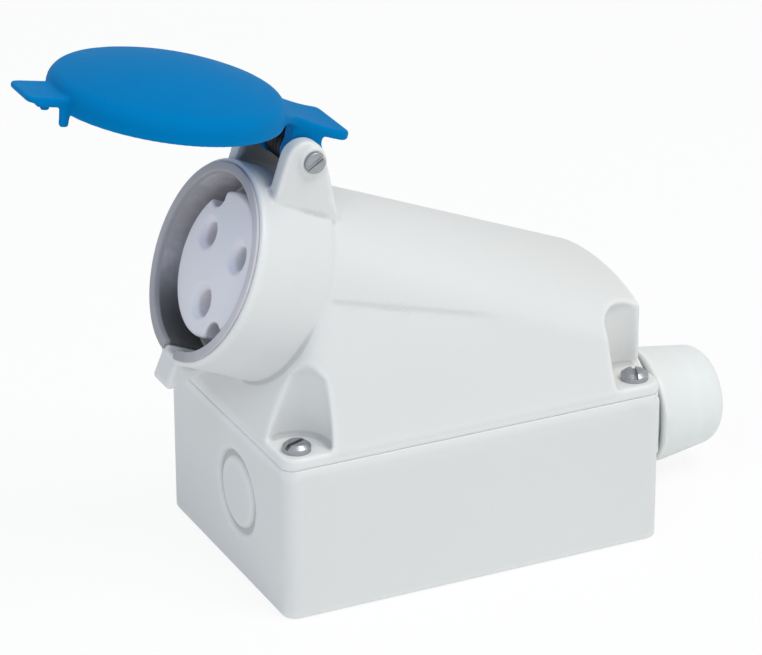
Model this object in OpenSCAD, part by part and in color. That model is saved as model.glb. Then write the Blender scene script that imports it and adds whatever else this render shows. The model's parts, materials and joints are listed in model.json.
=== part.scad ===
// Surface mounted power socket: a back box, a sloping cover that grows into a round mouth,
// a sprung lid, a contact carrier with three sleeves, and a cable gland.
// Millimetres. The origin is the middle of the wall face, +Z points away from the wall,
// and +X runs along the box from the mouth towards the cable gland.

/* [Box] */
// Length of the box along the wall
box_l = 104; // [100:1:116]
// Width of the box
box_w = 72.6; // [70:0.2:80]
// Height of the corner pads that carry the cover screws
pad_z = 43.5; // [41:0.5:45]
// Thickness of the corner pads, down to the parting line
pad_t = 3; // [2.5:0.5:4]
// Thickness of the moulded walls
wall = 2.6; // [2.2:0.1:3]
// Thickness of the floor
floor_t = 3; // [2.5:0.5:4]
// Radius of the upright corners
corner_r = 3.5; // [3:0.5:5]
// Distance from each cover screw to the two nearest sides
screw_inset = 5.4; // [5:0.2:6]
// Radius of the screw posts inside the box
post_r = 4.6; // [4.2:0.1:5]
// Radius of the screw pockets sunk into the cover, at the pads
pocket_r = 8.6; // [7.6:0.1:9]
// Radius of the cover's upright corners above the pads
hood_corner_r = 12; // [9:0.5:14]
// Distance between wall screws along the box
fix_x = 72; // [60:1:76]
// Distance between wall screws across the box
fix_y = 44; // [36:1:46]
// Radius of the wall screw holes
fix_r = 2.6; // [2:0.1:3]
// Height of the arched end of the cover above the wall
hood_end_z = 64.4; // [61:0.2:67]
// Radius of the knockout ring on the end face
knockout_r = 11; // [9:0.5:13]
// Sideways place of the knockout ring
knockout_y = -6; // [-9:0.5:9]
// Height of the knockout ring's centre
knockout_z = 22; // [18:0.5:25]

/* [Mouth] */
// Slope of the socket's axis from the wall
tilt = 23.5; // [18:0.5:28]
// How far the middle of the rim stands out past the end of the box
rim_out = 4.6; // [2:0.2:7]
// Height of the middle of the rim above the wall
rim_z = 83.1; // [81:0.1:87]
// Outer radius of the collar
collar_r = 26; // [23:0.1:29]
// Length of the round collar in front of the sloping cover
collar_len = 20; // [17:0.5:24]
// Thickness of the collar round the bore that takes the plug
collar_wall = 3.5; // [3:0.1:4]
// Depth of the bore, from the rim to the carrier's flange
bore_depth = 38; // [36:0.5:40]
// Width of the keyway in the collar
key_w = 6; // [5:0.2:7]
// Depth of the keyway beyond the bore
key_h = 2; // [1.6:0.1:2.2]
// Thickness of the dark sealing ring in the mouth
seal_t = 1.1; // [0.8:0.1:1.4]
// Length of the sealing ring along the bore
seal_len = 11; // [6:1:16]

/* [Contacts] */
// Width of the ring gap between the bore and the carrier, for the plug's shroud
shroud_gap = 4.2; // [3.9:0.1:4.6]
// How far the carrier's face lies behind the rim
carrier_recess = 3; // [2:0.5:5]
// Distance from the carrier's edge in to a contact's axis
contact_inset = 8.2; // [7.9:0.1:8.5]
// Radius of a pole pin
pole_pin_r = 2.5; // [2.3:0.1:2.6]
// Radius of the earth pin
earth_pin_r = 3; // [2.8:0.1:3.1]
// Running clearance of a pin in its sleeve
pin_gap = 0.05; // [0.03:0.01:0.08]
// Wall thickness of a contact sleeve
sleeve_t = 1.15; // [1:0.05:1.3]
// Length of a terminal behind the retainer
terminal_l = 9; // [7:0.5:11]

/* [Lid] */
// How far the lid stands open
lid_open = 77.5; // [0:0.5:117.5]
// Gap between the lid's skirt and the collar
lid_clear = 0.9; // [0.7:0.1:1.2]
// Height of the lid's shoulder over the rim
lid_h = 5; // [4.6:0.1:5.6]
// Radius of the lid's crown
crown_r = 81; // [70:1:100]
// Radius of the lid's rounded edge
edge_r = 4.4; // [3.6:0.1:4.8]
// Thickness of the lid
lid_t = 2; // [1.6:0.1:2.4]
// How far the lid's skirt reaches over the collar
skirt_over = 2.1; // [1.5:0.1:3]
// Length of the thumb tail past the hinge pin
tail_l = 11.9; // [10:0.1:13]
// Thickness of the neck and the thumb tail
tail_t = 2.6; // [2.2:0.1:3]
// Radius of the hinge pin
pin_r = 2; // [1.6:0.1:2.2]
// Height of the hinge pin above the collar
pin_rise = 8.2; // [7.6:0.1:9]
// Distance of the hinge pin behind the rim
pin_back = 9.9; // [9.4:0.1:10.8]
// Distance between the hinge ears
ear_gap = 20; // [18:0.5:22]
// Thickness of a hinge ear
ear_t = 4.5; // [4:0.5:5.5]

/* [Gland] */
// Height of the gland's axis above the wall
gland_z = 18.8; // [18.4:0.1:22]
// Radius of the gland's thread through the box wall
gland_r = 11; // [10:0.1:11.4]
// Radius of the cable bore
cable_r = 6.5; // [5:0.1:7]
// Radius of the cap nut at its base
cap_r = 15.6; // [15:0.1:16]
// Length of the cap nut
cap_l = 20.5; // [18:0.5:24]

/* [Hidden] */
$fn = 64;

// Colours of the finishes
shell_colour = "#e2e5e4";
lid_colour = "#0577be";
carrier_colour = "#cfd0d8";
seal_colour = "#5c6067";
brass_colour = "#c9a44c";
steel_colour = "#9ea2a6";
spring_colour = "#34363a";

// Small distances shared by the pieces
eps = 0.01;
fit_gap = 0.15;
turn_gap = 0.3;
pin_turn_gap = 0.06;
cut = 200;

// Box
base_h = pad_z - pad_t;
end_x = box_l / 2;
screw_x = box_l / 2 - screw_inset;
screw_y = box_w / 2 - screw_inset;
cover_screw_r = 2;
cover_screw_l = 18;
cover_head_r = 3.5;
cover_head_h = 2.2;
groove_w = 1.2;
groove_d = 1.3;
groove_inset = (wall - groove_w) / 2;
fix_boss_wall = 2.6;
fix_boss_r = fix_r + fix_boss_wall;
fix_boss_h = 2.4;
knockout_w = 1.8;
knockout_d = 1.4;

// Cover
rim_x = -box_l / 2 - rim_out;
bore_r = collar_r - collar_wall;
key_stop = 6;
hood_r = collar_r - 0.6;
tube_r = bore_r + 2.1;
inner_disc_r = bore_r - 1;
hood_setback = 0.1;
hood_sink = 1;
arch_x = end_x - 0.2;
arch_l = 4;
arch_power = 2.2;
hull_slice = 1;
hull_fn = 72;
pocket_h = 16.5;
pocket_draft = 0.6;
pocket_tip_r = 2;
pocket_tip_h = 9;
lug_half = 4.5;
lug_u = collar_r + 6.5;
lug_tip = 1.8;
lug_len = 9;

// Contact carrier
carrier_r = bore_r - shroud_gap;
contact_pcr = carrier_r - contact_inset;
flange_t = 4;
flange_r = bore_r - fit_gap;
ledge_t = 5;
carrier_rear_r = carrier_r - 2.7;
carrier_rear_l = 12;
carrier_face = -carrier_recess;
flange_front = -bore_depth;
flange_back = flange_front - flange_t;
carrier_back = flange_back - carrier_rear_l;
notch_angle = 55;
notch_r = 3.4;
notch_pcr = carrier_r + 0.1;
carrier_screw_r = 1.4;
carrier_head_r = 2.7;
carrier_head_h = 1.9;
carrier_screw_l = flange_t + ledge_t - 0.5;
entry_gap = 0.4;
entry_lead = 1.4;
sleeve_recess = 9;
sleeve_front = carrier_face - sleeve_recess;
shoulder = carrier_back + 8;
shoulder_step = 0.8;
retainer_t = 3;
retainer_back = carrier_back - retainer_t;
terminal_back = retainer_back - terminal_l;
wire_r = 1.5;
wire_depth = terminal_l - 1;
terminal_screw_r = 1.5;
terminal_head_r = 2.3;
terminal_head_h = 1.8;
retainer_screw_r = 1.6;
retainer_head_r = 3;
retainer_head_h = 2;
retainer_bite = 8;
retainer_screw_l = retainer_t + flange_front - carrier_back + retainer_bite;
line_angle = 30;
neutral_angle = 150;
earth_angle = 270;

// Lid and hinge
pin_u = collar_r + pin_rise;
pin_s = -pin_back;
ear_r = 5.4;
ear_shift = [-0.9, 1.6];
ear_front_s = -4;
ear_rear_s = -24;
ear_base_u = collar_r - 5.5;
boss_r = 3.5;
boss_h = 1.2;
pin_head_r = 2.7;
pin_head_h = 1.4;
pin_head_sink = 0.9;
pin_slot_w = 0.9;
pin_slot_d = 0.7;
clip_r = 3.6;
clip_t = 0.8;
ear_in = ear_gap / 2;
ear_out = ear_in + ear_t;
pin_tail = ear_out + boss_h + clip_t + 0.7;
skirt_in = collar_r + lid_clear;
lid_r = skirt_in + lid_t;
rib_in = bore_r + 0.4;
rib_out = collar_r - 1.4;
rib_s = 1.1;
neck_half = ear_in - 0.4;
neck_bite = 0.6;
neck_waist = 4;
neck_fillet = 6;
neck_root = 18;
neck_curve = [[-10, 12.05], [-3.5, 9.5], [4, 6.6], [tail_l - tail_t / 2, 6.1]];
neck_steps = 12;
neck_top = [for (i = [0 : neck_steps]) [pin_u, pin_s] + curve(neck_curve, i / neck_steps)];
tail_corner_r = 2.5;
knuckle_r = 5;
knuckle_in = 5.2;
web_half = knuckle_r - 0.7;
nose_half = lug_half + 0.8;
nose_u = lug_u + 5.5;
nose_s = 0.3;
nose_t = 1.5;
nose_corner_r = 2;
cheek_t = 1.6;
cheek_s = -0.6;
tooth_s = -5.4;
tooth_w = 2.8;

// Spring
wire_d = 1.4;
coil_r = 4;
coil_half = 4.2;
coil_turns = 4.5;
coil_steps = 14;
wire_sides = 8;
seat_back = 8.6;
seat_u = sqrt(pow(collar_r + wire_d / 2 + 0.03, 2) - pow(coil_half, 2));
press_x = 6;
press_z = lookup(pin_u + press_x, neck_top) - pin_s - tail_t - wire_d / 2 - 0.1;

// Gland
washer_t = 1.6;
hex_af = 27;
hex_back = washer_t;
hex_front = 12.4;
thread_in = wall + 8.5;
neck_r = 12;
neck_front = 23;
seal_front = 22.6;
seal_back = 9;
seal_r = 9.8;
locknut_t = 5;
locknut_af = 27;
cap_back = hex_front + 0.7;
cap_front = cap_back + cap_l;
cap_mid = cap_back + cap_l * 0.56;
cap_mid_r = cap_r - 1.7;
cap_end_r = 5.2;
cap_af = 2 * cap_r - 0.9;
clamp_t = 2.2;

// Points of an arc about c, from angle a to angle b
function arc(c, r, a, b, n = 8) = [for (i = [0:n]) let (t = a + (b - a) * i / n) c + r * [cos(t), sin(t)]];

// The place where a line from p touches the circle of radius r about c, on the left or right of the line
function touch(c, r, p, side) =
    let (d = p - c, l = norm(d), a = atan2(d.y, d.x) + side * acos(r / l)) c + r * [cos(a), sin(a)];

// Point of a curve with four control points
function curve(c, t) =
    pow(1 - t, 3) * c[0] + 3 * pow(1 - t, 2) * t * c[1] + 3 * (1 - t) * t * t * c[2] + pow(t, 3) * c[3];

// Flat rectangle with rounded corners
module rounded_rect(l, w, r) {
    square([l - 2 * r, w], center = true);
    square([l, w - 2 * r], center = true);
    for (x = [-1, 1], y = [-1, 1]) translate([x * (l / 2 - r), y * (w / 2 - r)]) circle(r);
}

// Places a child at each of the four cover screws
module at_cover_screws() {
    for (x = [-1, 1], y = [-1, 1]) translate([x * screw_x, y * screw_y, 0]) turn_corner(x, y) children();
}

// Turns a corner shape that is drawn for the +X +Y corner
module turn_corner(x, y) {
    rotate([0, 0, x > 0 ? (y > 0 ? 0 : -90) : (y > 0 ? 90 : 180)]) children();
}

// Outline of a post that fills the corner of the box
module post_outline(r) {
    circle(r);
    translate([0, -r]) square([screw_inset + cut, 2 * r]);
    translate([-r, 0]) square([2 * r, screw_inset + cut]);
    square(screw_inset + cut);
}

// Frame of the mouth: Z leaves the mouth, X points up in its plane, the origin is the middle of the rim
module mouth_frame() {
    translate([rim_x, 0, rim_z]) rotate([0, tilt - 90, 0]) children();
}

// Frame of the gland: Z leaves the box, the origin is on the outside of its end wall
module gland_frame() {
    translate([end_x, 0, gland_z]) rotate([0, 90, 0]) children();
}

// Extrudes an outline, drawn as height and distance from the rim, between two sideways places
module across(y0, y1) {
    translate([0, y1, 0]) rotate([90, 0, 0]) linear_extrude(y1 - y0) children();
}

// Solid of revolution about the mouth's axis between two distances from the rim
module turned(r, from, to) {
    translate([0, 0, min(from, to)]) cylinder(r = r, h = abs(to - from));
}

// Back box: an open moulded tray with corner posts and wall screw bosses
module back_box() {
    color(shell_colour) difference() {
        union() {
            difference() {
                linear_extrude(base_h) rounded_rect(box_l, box_w, corner_r);
                translate([0, 0, floor_t]) linear_extrude(base_h) difference() {
                    rounded_rect(box_l - 2 * wall, box_w - 2 * wall, max(corner_r - wall, 0.6));
                    at_cover_screws() post_outline(post_r);
                }
            }
            for (x = [-1, 1], y = [-1, 1])
                translate([x * fix_x / 2, y * fix_y / 2, 0]) cylinder(r = fix_boss_r, h = floor_t + fix_boss_h);
        }
        for (x = [-1, 1], y = [-1, 1])
            translate([x * fix_x / 2, y * fix_y / 2, -1]) cylinder(r = fix_r, h = cut);
        at_cover_screws() translate([0, 0, pad_z - cover_screw_l - 1]) cylinder(r = cover_screw_r + 0.05, h = cut);
        translate([0, 0, base_h - groove_d]) linear_extrude(cut) gasket_outline(groove_w);
        gland_frame() translate([0, 0, -2 * wall]) cylinder(r = gland_r + fit_gap, h = cut);
        translate([-end_x - eps, knockout_y, knockout_z]) rotate([0, 90, 0]) difference() {
            cylinder(r = knockout_r, h = knockout_d);
            translate([0, 0, -1]) cylinder(r = knockout_r - knockout_w, h = knockout_d + 2);
        }
    }
}

// Plan of the parting seal, centred in the thickness of the wall
module gasket_outline(w) {
    inset = groove_inset + (groove_w - w) / 2;
    difference() {
        rounded_rect(box_l - 2 * inset, box_w - 2 * inset, corner_r - inset);
        rounded_rect(box_l - 2 * inset - 2 * w, box_w - 2 * inset - 2 * w, corner_r - inset - w);
    }
}

// Rubber seal in the groove of the box rim
module box_gasket() {
    color(seal_colour) translate([0, 0, base_h - groove_d]) linear_extrude(groove_d) gasket_outline(groove_w);
}

// Plan of the sloping form, moved in by a wall
module hood_plan(inset) {
    rounded_rect(box_l - 2 * inset, box_w - 2 * inset, hood_corner_r - inset, $fn = hull_fn);
}

// Outline of the arched end: a flat crown that falls ever faster to the sides
module arch_outline(half, height) {
    polygon([for (a = [0 : 360 / hull_fn : 180])
        [half * sign(cos(a)) * pow(abs(cos(a)), 2 / arch_power), height * pow(abs(sin(a)), 2 / arch_power)]]);
}

// Screw pocket with its bottom at the origin, grown by a wall
module screw_pocket(grow, below) {
    rotate_extrude() polygon([[0, -below], [pocket_r + grow, -below], [pocket_r + grow, 0],
        [pocket_r - pocket_draft + grow, pocket_h], [pocket_tip_r + grow, pocket_h + pocket_tip_h + grow],
        [0, pocket_h + pocket_tip_h + grow]]);
}

// Sloping form between the collar, the arched end and the rim of the box, moved in by a wall
module hood_form(inset, disc_r) {
    drop = inset > hood_setback ? 2 * wall : 0;
    hull() {
        mouth_frame() translate([0, 0, -collar_len - inset - hull_slice])
            cylinder(r = disc_r, h = hull_slice, $fn = hull_fn);
        intersection() {
            translate([arch_x - arch_l, 0, pad_z]) rotate([90, 0, 90]) linear_extrude(arch_l - inset)
                arch_outline(box_w / 2 - inset, hood_end_z - pad_z - inset);
            translate([0, 0, pad_z - 1]) linear_extrude(cut) hood_plan(inset);
        }
        translate([0, 0, base_h + hood_sink - drop]) linear_extrude(pad_t - hood_sink - 0.2 + drop) hood_plan(inset);
    }
}

// Outline of a hinge ear, as height and distance from the rim
module ear_outline() {
    middle = [pin_u, pin_s] + ear_shift;
    front = [ear_base_u, ear_front_s];
    rear = [ear_base_u, ear_rear_s];
    translate(middle) circle(ear_r);
    polygon([front, touch(middle, ear_r, front, -1), middle, touch(middle, ear_r, rear, 1), rear]);
}

// Cover: sloping hood, round collar, keyway, hinge ears and screw pockets in one moulding
module cover() {
    color(shell_colour) difference() {
        union() {
            difference() {
                union() {
                    hood_form(hood_setback, hood_r);
                    translate([0, 0, base_h]) linear_extrude(pad_t) rounded_rect(box_l, box_w, corner_r);
                }
                difference() {
                    hood_form(wall, inner_disc_r);
                    at_cover_screws() translate([0, 0, pad_z]) screw_pocket(wall, 6 * wall);
                }
            }
            mouth_frame() {
                turned(collar_r, 0, -collar_len - 0.5);
                turned(tube_r, -collar_len + 2, flange_back - ledge_t);
                across(-lug_half, lug_half) polygon([[-bore_r, 0], [-lug_u, 0], [-lug_u, -lug_tip],
                    [-collar_r, -lug_len], [-bore_r, -lug_len]]);
                for (y = [-1, 1]) {
                    across(y > 0 ? ear_in : -ear_out, y > 0 ? ear_out : -ear_in) ear_outline();
                    across(y > 0 ? ear_out - eps : -ear_out - boss_h, y > 0 ? ear_out + boss_h : -ear_out + eps)
                        translate([pin_u, pin_s]) circle(boss_r);
                }
            }
        }
        mouth_frame() {
            turned(bore_r, 1, flange_back);
            turned(bore_r + seal_t, 1, -seal_len);
            turned(carrier_rear_r + turn_gap, flange_back + 1, flange_back - ledge_t - 1);
            translate([-bore_r - key_h, -key_w / 2, -bore_depth + key_stop]) cube([bore_r, key_w, bore_depth]);
            across(-cut / 2, cut / 2) translate([pin_u, pin_s]) circle(pin_r + 0.03);
            across(-cut, -ear_out - boss_h + pin_head_sink) translate([pin_u, pin_s]) circle(pin_head_r + fit_gap);
            at_carrier_screws() turned(carrier_screw_r + 0.05, flange_back + 1, flange_back - ledge_t - 1);
        }
        at_cover_screws() translate([0, 0, pad_z]) screw_pocket(0, 0);
        at_cover_screws() translate([0, 0, -cut / 2]) cylinder(r = cover_screw_r + fit_gap, h = cut);
    }
}

// Angle in the mouth's frame of a place given as on a clock face seen from the box's +Y side
function notch_frame_angle(a) = 90 - a;

// Slotted pan head screw with its head above the origin and its shank below
module screw(r, l, head_r, head_h, slot) {
    difference() {
        union() {
            translate([0, 0, -l]) cylinder(r = r, h = l + eps);
            cylinder(r = head_r, h = head_h * 0.6);
            translate([0, 0, head_h * 0.6 - eps]) cylinder(r1 = head_r, r2 = head_r * 0.72, h = head_h * 0.4 + eps);
        }
        translate([-cut / 2, -slot / 2, head_h * 0.5]) cube([cut, slot, head_h]);
    }
}

// Four screws that hold the cover to the box
module cover_screws() {
    color(steel_colour) at_cover_screws() translate([0, 0, pad_z]) rotate([0, 0, 35])
        screw(cover_screw_r, cover_screw_l, cover_head_r, cover_head_h, 1);
}

// Dark ring that lines the mouth and covers its rim for the lid to close on
module mouth_seal() {
    color(seal_colour) mouth_frame() difference() {
        union() {
            turned(bore_r + seal_t, 0, -seal_len);
            turned(collar_r - 0.9, 0, 0.8);
        }
        turned(bore_r, 2, -seal_len - 1);
        translate([-cut, -key_w / 2, -cut / 2]) cube([cut, key_w, cut]);
    }
}

// Place of a contact in the mouth's frame, from its angle on the face
function contact_place(angle) = contact_pcr * [sin(angle), cos(angle)];

// Places a child on one of the contact axes
module at_contact(angle) {
    p = contact_place(angle);
    translate([p.x, p.y, 0]) children();
}

// Passage of a contact through the carrier
module contact_passage(pin) {
    entry = pin + entry_gap;
    sleeve = pin + pin_gap + sleeve_t + 0.05;
    turned(entry, carrier_face + 1, carrier_back - 1);
    translate([0, 0, carrier_face - entry_lead]) cylinder(r1 = entry, r2 = entry + entry_lead + eps, h = entry_lead + eps);
    turned(sleeve, sleeve_front + 0.1, carrier_back - 1);
    turned(sleeve + shoulder_step, shoulder, carrier_back - 1);
}

// The three passages, each on its own axis
module contact_passages() {
    at_contact(line_angle) contact_passage(pole_pin_r);
    at_contact(neutral_angle) contact_passage(pole_pin_r);
    at_contact(earth_angle) contact_passage(earth_pin_r);
}

// Places a child at each of the two carrier screws
module at_carrier_screws() {
    for (a = [0, 180]) rotate([0, 0, notch_frame_angle(notch_angle + a)]) translate([notch_pcr, 0, 0]) children();
}

// Contact carrier: a round block with three passages and two screw notches
module contact_carrier() {
    color(carrier_colour) mouth_frame() difference() {
        union() {
            turned(carrier_r, carrier_face - 0.6, flange_front);
            translate([0, 0, carrier_face - 0.6]) cylinder(r1 = carrier_r, r2 = carrier_r - 0.6, h = 0.6);
        }
        at_carrier_screws() turned(notch_r, 1, flange_front - 1);
        contact_passages();
        turned(retainer_screw_r + 0.05, flange_front - 1, flange_front + retainer_bite + 0.5);
    }
}

// Carrier base: a flange on the ledge of the cover and a rear block that holds the contacts' shoulders
module carrier_base() {
    color(carrier_colour) mouth_frame() difference() {
        union() {
            turned(flange_r, flange_front, flange_back);
            turned(carrier_rear_r, flange_front - 1, carrier_back);
        }
        contact_passages();
        at_carrier_screws() turned(carrier_screw_r + fit_gap, flange_front + 1, flange_back - 1);
        turned(retainer_screw_r + fit_gap, flange_front + 1, carrier_back - 1);
    }
}

// Two screws that hold the carrier's flange to the ledge in the cover
module carrier_screws() {
    color(steel_colour) mouth_frame() at_carrier_screws() translate([0, 0, flange_front])
        screw(carrier_screw_r, carrier_screw_l, carrier_head_r, carrier_head_h, 0.8);
}

// Brass contact: a bored sleeve in front, a shoulder, and a terminal with a wire hole and a screw hole
module contact(angle, pin) {
    bore = pin + pin_gap;
    outer = bore + sleeve_t;
    color(brass_colour) mouth_frame() at_contact(angle) difference() {
        union() {
            turned(outer, sleeve_front, terminal_back);
            turned(outer + shoulder_step - 0.05, shoulder, carrier_back);
        }
        turned(bore, sleeve_front + 1, shoulder + 2);
        turned(wire_r, terminal_back - 1, terminal_back + wire_depth);
        rotate([0, 0, atan2(contact_place(angle).y, contact_place(angle).x)])
            translate([0, 0, terminal_back + terminal_l / 2]) rotate([0, 90, 0])
                cylinder(r = terminal_screw_r + 0.03, h = outer + 1);
    }
}

module line_contact() {
    contact(line_angle, pole_pin_r);
}

module neutral_contact() {
    contact(neutral_angle, pole_pin_r);
}

module earth_contact() {
    contact(earth_angle, earth_pin_r);
}

// Plate that traps the three contacts at the back of the carrier
module contact_retainer() {
    color(carrier_colour) mouth_frame() difference() {
        turned(carrier_rear_r, carrier_back, retainer_back);
        for (c = [[line_angle, pole_pin_r], [neutral_angle, pole_pin_r], [earth_angle, earth_pin_r]])
            at_contact(c[0]) turned(c[1] + pin_gap + sleeve_t + 0.1, carrier_back + 1, retainer_back - 1);
        turned(retainer_screw_r + fit_gap, carrier_back + 1, retainer_back - 1);
    }
}

// Screw through the retainer and the base into the carrier
module retainer_screw() {
    color(steel_colour) mouth_frame() translate([0, 0, retainer_back]) rotate([180, 0, 0])
        screw(retainer_screw_r, retainer_screw_l, retainer_head_r, retainer_head_h, 0.9);
}

// One clamping screw in each terminal, standing out from the socket's axis
module terminal_screws() {
    color(steel_colour) mouth_frame()
        for (c = [[line_angle, pole_pin_r], [neutral_angle, pole_pin_r], [earth_angle, earth_pin_r]]) {
            outer = c[1] + pin_gap + sleeve_t;
            p = contact_place(c[0]);
            at_contact(c[0]) rotate([0, 0, atan2(p.y, p.x)])
                translate([outer + 0.1, 0, terminal_back + terminal_l / 2]) rotate([0, 90, 0])
                    screw(terminal_screw_r, outer - wire_r + 0.1, terminal_head_r, terminal_head_h, 0.7);
        }
}

// Places a child, drawn on the closed lid, at the angle where the lid stands
module lid_frame() {
    mouth_frame() translate([pin_u, 0, pin_s]) rotate([0, lid_open, 0]) translate([-pin_u, 0, -pin_s]) children();
}

// Section of the dished lid: a low crown, a rounded edge that runs into it, a skirt and a sealing rib
module lid_section() {
    edge = [lid_r - edge_r, lid_h - edge_r];
    half = asin(edge.x / (crown_r - edge_r));
    crown = [0, edge.y - (crown_r - edge_r) * cos(half)];
    under_r = crown_r - lid_t;
    polygon(concat(
        arc(crown, crown_r, 90, 90 - half, 9),
        arc(edge, edge_r, 82 - half, 0, 6),
        [[lid_r, -skirt_over], [skirt_in, -skirt_over]],
        arc(edge, edge_r - lid_t, 0, 82 - half, 4),
        arc(crown, under_r, 90 - half, 90 - asin(rib_out / under_r), 1),
        [[rib_out, rib_s], [rib_in, rib_s]],
        arc(crown, under_r, 90 - asin(rib_in / under_r), 90, 7)
    ));
}

// Plan of the neck and the thumb tail: sides that leave the dish, bend in a fillet and run straight to the tail
module neck_plan() {
    waist = [pin_u - neck_waist, neck_half];
    side = touch([0, 0], lid_r - neck_bite, waist, 1);
    bend = -atan2(waist.y - side.y, waist.x - side.x);
    fillet = [waist.x + neck_fillet * tan(bend / 2), neck_half + neck_fillet];
    tail = [pin_u + tail_l - tail_corner_r, neck_half - tail_corner_r];
    edge = concat([side], arc(fillet, neck_fillet, -90 - bend, -90, 5), arc(tail, tail_corner_r, 90, 0, 4));
    polygon(concat(edge, [for (i = [len(edge) - 1 : -1 : 0]) [edge[i].x, -edge[i].y]]));
}

// Outline of the neck and the thumb tail, as height and distance from the rim
module neck_outline() {
    root = [pin_u - neck_root, neck_top[0].y];
    tip = neck_top[neck_steps] - [0, tail_t / 2];
    polygon(concat(
        [root], neck_top, arc(tip, tail_t / 2, 75, -75, 5),
        [for (i = [neck_steps : -1 : 0]) neck_top[i] - [0, tail_t]],
        [root - [0, tail_t]]
    ));
}

// Neck that leaves the skirt of the dish and runs over the hinge to the thumb tail
module lid_neck() {
    difference() {
        intersection() {
            translate([0, 0, pin_s]) linear_extrude(lid_h - pin_s) neck_plan();
            across(-lid_r, lid_r) neck_outline();
        }
        turned(skirt_in + 0.4, -cut, lid_h - 0.5);
    }
}

// Outline of a hinge knuckle with its web up into the neck
module knuckle_outline() {
    translate([pin_u, pin_s]) circle(knuckle_r);
    polygon([for (x = [-web_half, web_half]) [pin_u + x, lookup(pin_u + x, neck_top) - tail_t / 2],
        [pin_u + web_half, pin_s], [pin_u - web_half, pin_s]]);
}

// Plan of the nose over the keyway, round at its free end
module nose_plan() {
    half = nose_half + cheek_t;
    end = [nose_corner_r - nose_u, half - nose_corner_r];
    root = -skirt_in - 0.8;
    polygon(concat([[root, half]], arc(end, nose_corner_r, 90, 180, 4),
        arc([end.x, -end.y], nose_corner_r, 180, 270, 4), [[root, -half]]));
}

// Outline of a cheek beside the nose, with a tooth at its root, as height and distance from the rim
module cheek_outline() {
    root = -skirt_in - 0.05;
    free = -nose_u + nose_corner_r + 0.2;
    high = nose_s + nose_t / 2;
    polygon([[free, high], [root, high], [root, tooth_s], [root - tooth_w + 0.5, tooth_s], [root - tooth_w, cheek_s],
        [free, cheek_s]]);
}

// Lid: dish, neck with thumb tail, two knuckles, and a nose with toothed cheeks over the keyway
module lid() {
    color(lid_colour) lid_frame() difference() {
        union() {
            difference() {
                rotate_extrude() lid_section();
                translate([-cut - rib_out - 0.6, -nose_half, -cut]) cube([cut, 2 * nose_half, cut + nose_s + 0.4]);
            }
            lid_neck();
            for (y = [-1, 1]) {
                across(y > 0 ? knuckle_in : -neck_half, y > 0 ? neck_half : -knuckle_in) knuckle_outline();
                across(y > 0 ? nose_half : -nose_half - cheek_t, y > 0 ? nose_half + cheek_t : -nose_half) cheek_outline();
            }
            translate([0, 0, nose_s]) linear_extrude(nose_t) nose_plan();
        }
        across(-cut / 2, cut / 2) translate([pin_u, pin_s]) circle(pin_r + pin_turn_gap);
    }
}

// Slotted hinge pin across both ears
module hinge_pin() {
    color(steel_colour) mouth_frame() translate([pin_u, 0, pin_s]) difference() {
        union() {
            rotate([90, 0, 0]) translate([0, 0, -pin_tail]) cylinder(r = pin_r, h = pin_tail + ear_out + boss_h);
            translate([0, -ear_out - boss_h + pin_head_sink, 0]) rotate([90, 0, 0]) cylinder(r = pin_head_r, h = pin_head_h);
        }
        translate([0, -ear_out - boss_h + pin_head_sink - pin_head_h, 0]) rotate([0, 35, 0])
            cube([cut, 2 * pin_slot_d, pin_slot_w], center = true);
        translate([0, ear_out + boss_h, 0]) rotate([-90, 0, 0]) difference() {
            cylinder(r = pin_r + 1, h = clip_t);
            translate([0, 0, -1]) cylinder(r = pin_r - 0.4, h = clip_t + 2);
        }
    }
}

// Spring clip in the groove at the tail of the pin
module pin_clip() {
    color(steel_colour) mouth_frame() translate([pin_u, ear_out + boss_h, pin_s]) rotate([-90, 0, 0]) difference() {
        cylinder(r = clip_r, h = clip_t);
        translate([0, 0, -1]) cylinder(r = pin_r - 0.4, h = clip_t + 2);
        translate([0, -0.7 * (pin_r - 0.4), -1]) cube([cut, 1.4 * (pin_r - 0.4), clip_t + 2]);
    }
}

// Middle line of the spring: a leg on the cover, the coil about the pin, and a leg under the thumb tail
function spring_line() =
    let (
        seat = [seat_u, -coil_half, pin_s - seat_back],
        press = [pin_u + press_x * cos(lid_open) + press_z * sin(lid_open), coil_half,
            pin_s - press_x * sin(lid_open) + press_z * cos(lid_open)],
        n = coil_turns * coil_steps
    )
    concat(
        [seat],
        [for (i = [0:n]) let (a = 180 - i * 360 / coil_steps)
            [pin_u + coil_r * cos(a), coil_half * (2 * i / n - 1), pin_s + coil_r * sin(a)]],
        [press]
    );

// Direction of the line at point i
function line_direction(p, i) =
    let (d = p[min(i + 1, len(p) - 1)] - p[max(i - 1, 0)]) d / norm(d);

// Round wire swept along a list of points
module wire(p, r, sides) {
    rings = [for (i = [0 : len(p) - 1])
        let (t = line_direction(p, i), a = cross(t, [0, 1, 0]), e = a / norm(a), f = cross(t, e))
            for (k = [0 : sides - 1]) p[i] + r * (cos(360 * k / sides) * e + sin(360 * k / sides) * f)];
    last = (len(p) - 1) * sides;
    faces = concat(
        [[for (k = [0 : sides - 1]) k]],
        [for (i = [0 : len(p) - 2], k = [0 : sides - 1])
            [i * sides + k, (i + 1) * sides + k, (i + 1) * sides + (k + 1) % sides, i * sides + (k + 1) % sides]],
        [[for (k = [sides - 1 : -1 : 0]) last + k]]
    );
    polyhedron(rings, faces);
}

// Closing spring of the lid
module lid_spring() {
    color(spring_colour) mouth_frame() wire(spring_line(), wire_d / 2, wire_sides);
}

// Hexagon of a given width across its flats
module hexagon(af, h) {
    cylinder(r = af / 2 / cos(30), h = h, $fn = 6);
}

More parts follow.
